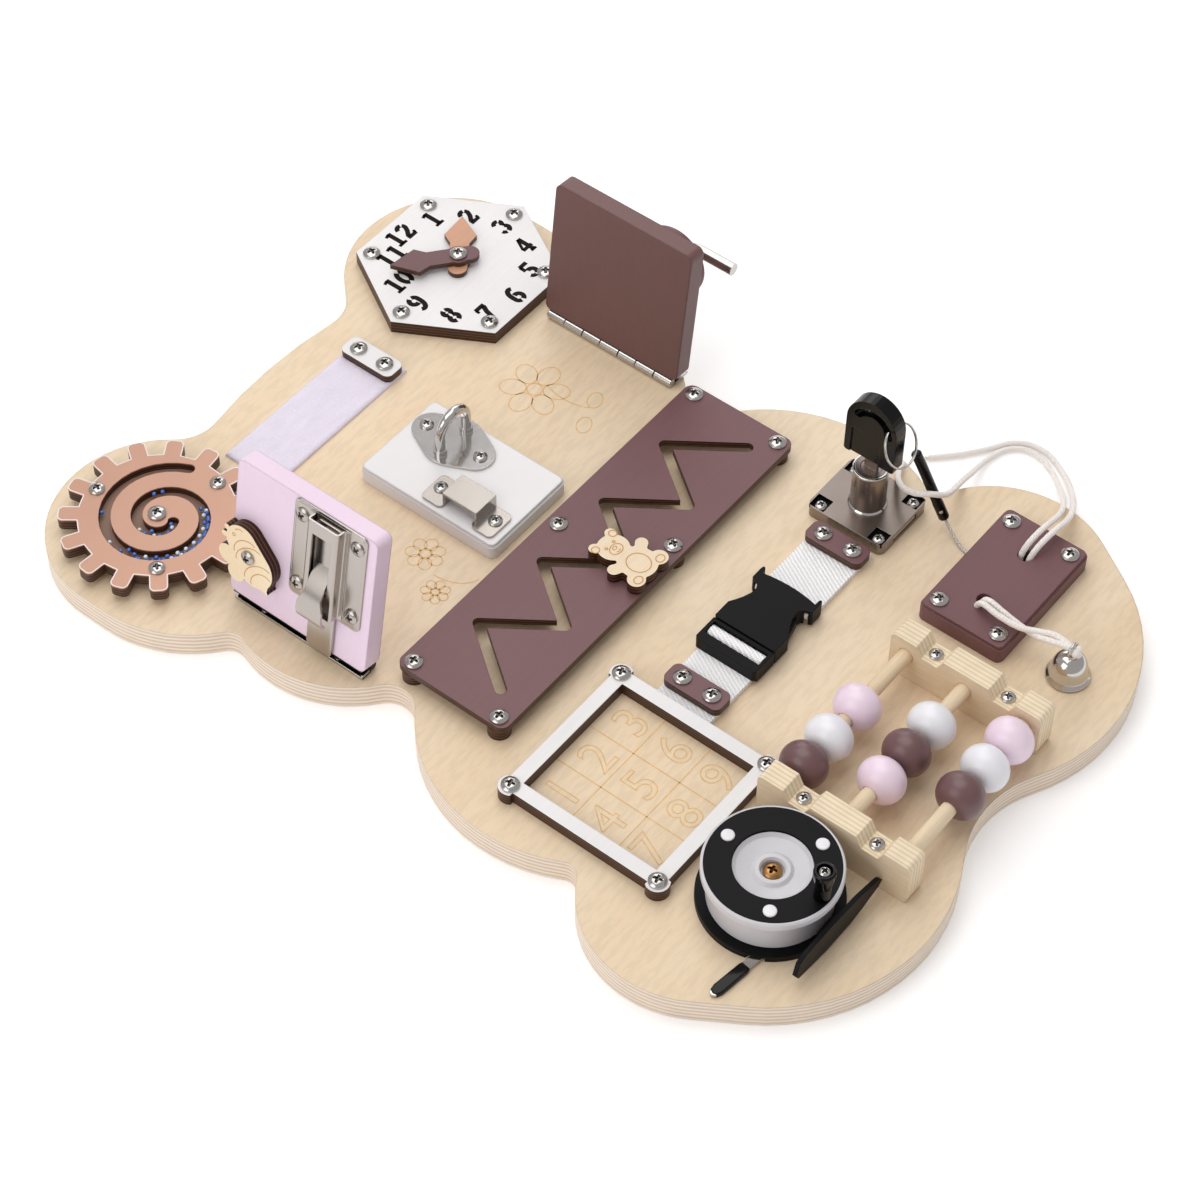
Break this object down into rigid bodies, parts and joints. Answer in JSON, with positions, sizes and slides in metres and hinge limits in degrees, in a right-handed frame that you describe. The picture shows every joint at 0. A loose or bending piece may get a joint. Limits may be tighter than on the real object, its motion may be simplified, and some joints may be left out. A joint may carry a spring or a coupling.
{
  "type": "wooden busy board",
  "caption": "Bear-shaped plywood activity board with hinged doors, latch, clock hands, gear, lock and key, buckle, bead counter, lacing, bell, reel and slider track.",
  "frame": {"origin": "centre of the plywood back's outline at its rear face", "axes": "+X to the right of the board, +Y towards the ears, +Z out of the front face"},
  "size_m": [0.4051, 0.5083, 0.1057],
  "materials": {
    "pale_ply": "clear lacquered birch plywood, light engraving",
    "mauve_paint": "satin mauve paint on plywood",
    "brown_door_paint": "satin brown paint on plywood",
    "pink_paint": "satin pink paint on plywood",
    "white_paint": "satin white paint with burnt edges",
    "peach_paint": "satin rose copper paint with burnt edges",
    "burnt_ply": "laser cut plywood, browned edges",
    "stained_wood": "satin stained turned wood",
    "steel": "zinc plated steel",
    "brass_steel": "yellow zinc plated steel",
    "nickel": "nickel plated",
    "black_plastic": "moulded, satin",
    "grey_plastic": "moulded, satin",
    "web_fabric": "woven polyester",
    "tape_fabric": "hook and loop tape",
    "cord_fabric": "soft cotton cord",
    "natural_ply": "sanded birch plywood, layers upright"
  },
  "bodies": {
    "backboard": {"board": "pale_ply", "screws": "steel", "spacers": "burnt_ply", "clock_dial": "white_paint", "loop_tape": "tape_fabric", "clamp_plates": "mauve_paint", "hinge_bases": "steel", "middle_block": "pale_ply", "pad_eye": "steel", "latch_catch": "steel", "track_plate": "mauve_paint", "number_frame": "white_paint", "strap_webbing": "web_fabric", "free_webbing": "web_fabric", "buckle_plug": "black_plastic", "lock_case": "nickel", "key_sleeve": "black_plastic", "key_wire": "steel", "lacing_block": "mauve_paint", "lace_a": "cord_fabric", "lace_b": "cord_fabric", "bell_lace": "cord_fabric", "bell": "nickel", "counter_brackets": "natural_ply", "dowels": "natural_ply", "reel_base": "black_plastic"},
    "gear": {"gear": "burnt_ply", "gear_face": "peach_paint", "gear_screws": "steel"},
    "hour_hand": {"hour_hand": "peach_paint"},
    "minute_hand": {"minute_hand": "stained_wood"},
    "left_door": {"left_door": "pink_paint", "left_leaf": "black_plastic", "left_fittings": "steel"},
    "latch_tongue": {"latch_tongue": "steel"},
    "bee": {"bee": "pale_ply"},
    "right_door": {"right_door": "brown_door_paint", "right_leaf": "steel", "lever_disc": "mauve_paint"},
    "lever": {"lever": "steel"},
    "track_pin": {"track_pin": "steel"},
    "slider_bear": {"slider_bear": "pale_ply"},
    "buckle_socket": {"buckle_socket": "black_plastic"},
    "lock_bolt": {"lock_bolt": "steel"},
    "key": {"key": "nickel", "key_grip": "black_plastic", "key_ring": "nickel"},
    "reel_drum": {"reel_drum": "grey_plastic", "reel_face": "black_plastic"},
    "reel_knob": {"reel_knob": "black_plastic"},
    "reel_lever": {"reel_lever": "black_plastic"},
    "bead_1_pink": {"bead_1_pink": "pink_paint"},
    "bead_1_white": {"bead_1_white": "white_paint"},
    "bead_1_brown": {"bead_1_brown": "stained_wood"},
    "bead_2_pink": {"bead_2_pink": "pink_paint"},
    "bead_2_white": {"bead_2_white": "white_paint"},
    "bead_2_brown": {"bead_2_brown": "stained_wood"},
    "bead_3_pink": {"bead_3_pink": "pink_paint"},
    "bead_3_white": {"bead_3_white": "white_paint"},
    "bead_3_brown": {"bead_3_brown": "stained_wood"}
  },
  "joints": [
    {"name": "gear_spin", "type": "hinge", "parent": "backboard", "child": "gear", "pos_m": [-0.118, 0.1945, 0.0195], "axis": [0, 0, 1], "continuous": true},
    {"name": "hour_hand_turn", "type": "hinge", "parent": "backboard", "child": "hour_hand", "pos_m": [0.118, 0.1923, 0.025], "axis": [0, 0, 1], "continuous": true},
    {"name": "minute_hand_turn", "type": "hinge", "parent": "backboard", "child": "minute_hand", "pos_m": [0.118, 0.1923, 0.028], "axis": [0, 0, 1], "continuous": true},
    {"name": "left_door_swing", "type": "hinge", "parent": "backboard", "child": "left_door", "pos_m": [-0.1186, 0.0918, 0.0177], "axis": [0, 1, 0], "range_deg": [0, 79.2]},
    {"name": "latch_slide", "type": "slide", "parent": "left_door", "child": "latch_tongue", "axis": [0.1874, 0, 0.9823], "range_m": [0, 0.024]},
    {"name": "bee_spin", "type": "hinge", "parent": "left_door", "child": "bee", "pos_m": [-0.12149, 0.1202, 0.05592], "axis": [-0.9823, 0, 0.1874], "continuous": true},
    {"name": "right_door_swing", "type": "hinge", "parent": "backboard", "child": "right_door", "pos_m": [0.1237, 0.0918, 0.0177], "axis": [0, -1, 0], "range_deg": [-9, 96.5]},
    {"name": "lever_turn", "type": "hinge", "parent": "right_door", "child": "lever", "pos_m": [0.14099, 0.069, 0.08115], "axis": [0.9936, 0, -0.1132], "range_deg": [-90, 90]},
    {"name": "track_slide", "type": "slide", "parent": "backboard", "child": "track_pin", "axis": [0.5898, 0.8075, 0], "range_m": [0, 0.0427]},
    {"name": "bear_turn", "type": "hinge", "parent": "track_pin", "child": "slider_bear", "pos_m": [0.0052, -0.012, 0.026], "axis": [0, 0, 1], "continuous": true},
    {"name": "buckle_pull", "type": "slide", "parent": "backboard", "child": "buckle_socket", "axis": [1, 0, 0], "range_m": [0, 0.028], "deforming": ["free_webbing"]},
    {"name": "key_turn", "type": "hinge", "parent": "backboard", "child": "key", "pos_m": [0.1172, -0.0803, 0.0575], "axis": [0, 0, 1], "range_deg": [0, 90], "deforming": ["key_sleeve", "key_wire"]},
    {"name": "lock_bolt_slide", "type": "slide", "parent": "backboard", "child": "lock_bolt", "axis": [0, -1, 0], "range_m": [0, 0.007]},
    {"name": "brown_bead_slide_1", "type": "slide", "parent": "backboard", "child": "bead_1_brown", "axis": [1, 0, 0], "range_m": [-0.002, 0.01]},
    {"name": "white_bead_slide_1", "type": "slide", "parent": "bead_1_brown", "child": "bead_1_white", "axis": [1, 0, 0], "range_m": [0, 0.01]},
    {"name": "pink_bead_slide_1", "type": "slide", "parent": "bead_1_white", "child": "bead_1_pink", "axis": [1, 0, 0], "range_m": [-0.003, 0.01]},
    {"name": "pink_bead_slide_2", "type": "slide", "parent": "backboard", "child": "bead_2_pink", "axis": [1, 0, 0], "range_m": [-0.017, 0.0055]},
    {"name": "brown_bead_slide_2", "type": "slide", "parent": "bead_2_pink", "child": "bead_2_brown", "axis": [1, 0, 0], "range_m": [0, 0.0055]},
    {"name": "white_bead_slide_2", "type": "slide", "parent": "bead_2_brown", "child": "bead_2_white", "axis": [1, 0, 0], "range_m": [0, 0.0055]},
    {"name": "pink_bead_slide_3", "type": "slide", "parent": "backboard", "child": "bead_3_pink", "axis": [1, 0, 0], "range_m": [-0.011, 0.0012]},
    {"name": "white_bead_slide_3", "type": "slide", "parent": "bead_3_pink", "child": "bead_3_white", "axis": [1, 0, 0], "range_m": [-0.011, 0]},
    {"name": "brown_bead_slide_3", "type": "slide", "parent": "bead_3_white", "child": "bead_3_brown", "axis": [1, 0, 0], "range_m": [-0.011, 0]},
    {"name": "reel_spin", "type": "hinge", "parent": "backboard", "child": "reel_drum", "pos_m": [-0.1057, -0.1825, 0.045], "axis": [0, 0, 1], "continuous": true},
    {"name": "knob_spin", "type": "hinge", "parent": "reel_drum", "child": "reel_knob", "pos_m": [-0.1057, -0.2103, 0.045], "axis": [0, 0, 1], "continuous": true},
    {"name": "click_lever_flip", "type": "hinge", "parent": "backboard", "child": "reel_lever", "pos_m": [-0.1317, -0.1985, 0.019], "axis": [0, 0, 1], "range_deg": [-8, 8]}
  ],
  "couplings": [
    {"joint": "lock_bolt_slide", "follows": "key_turn", "m_per_rad": 0.0044563}
  ]
}
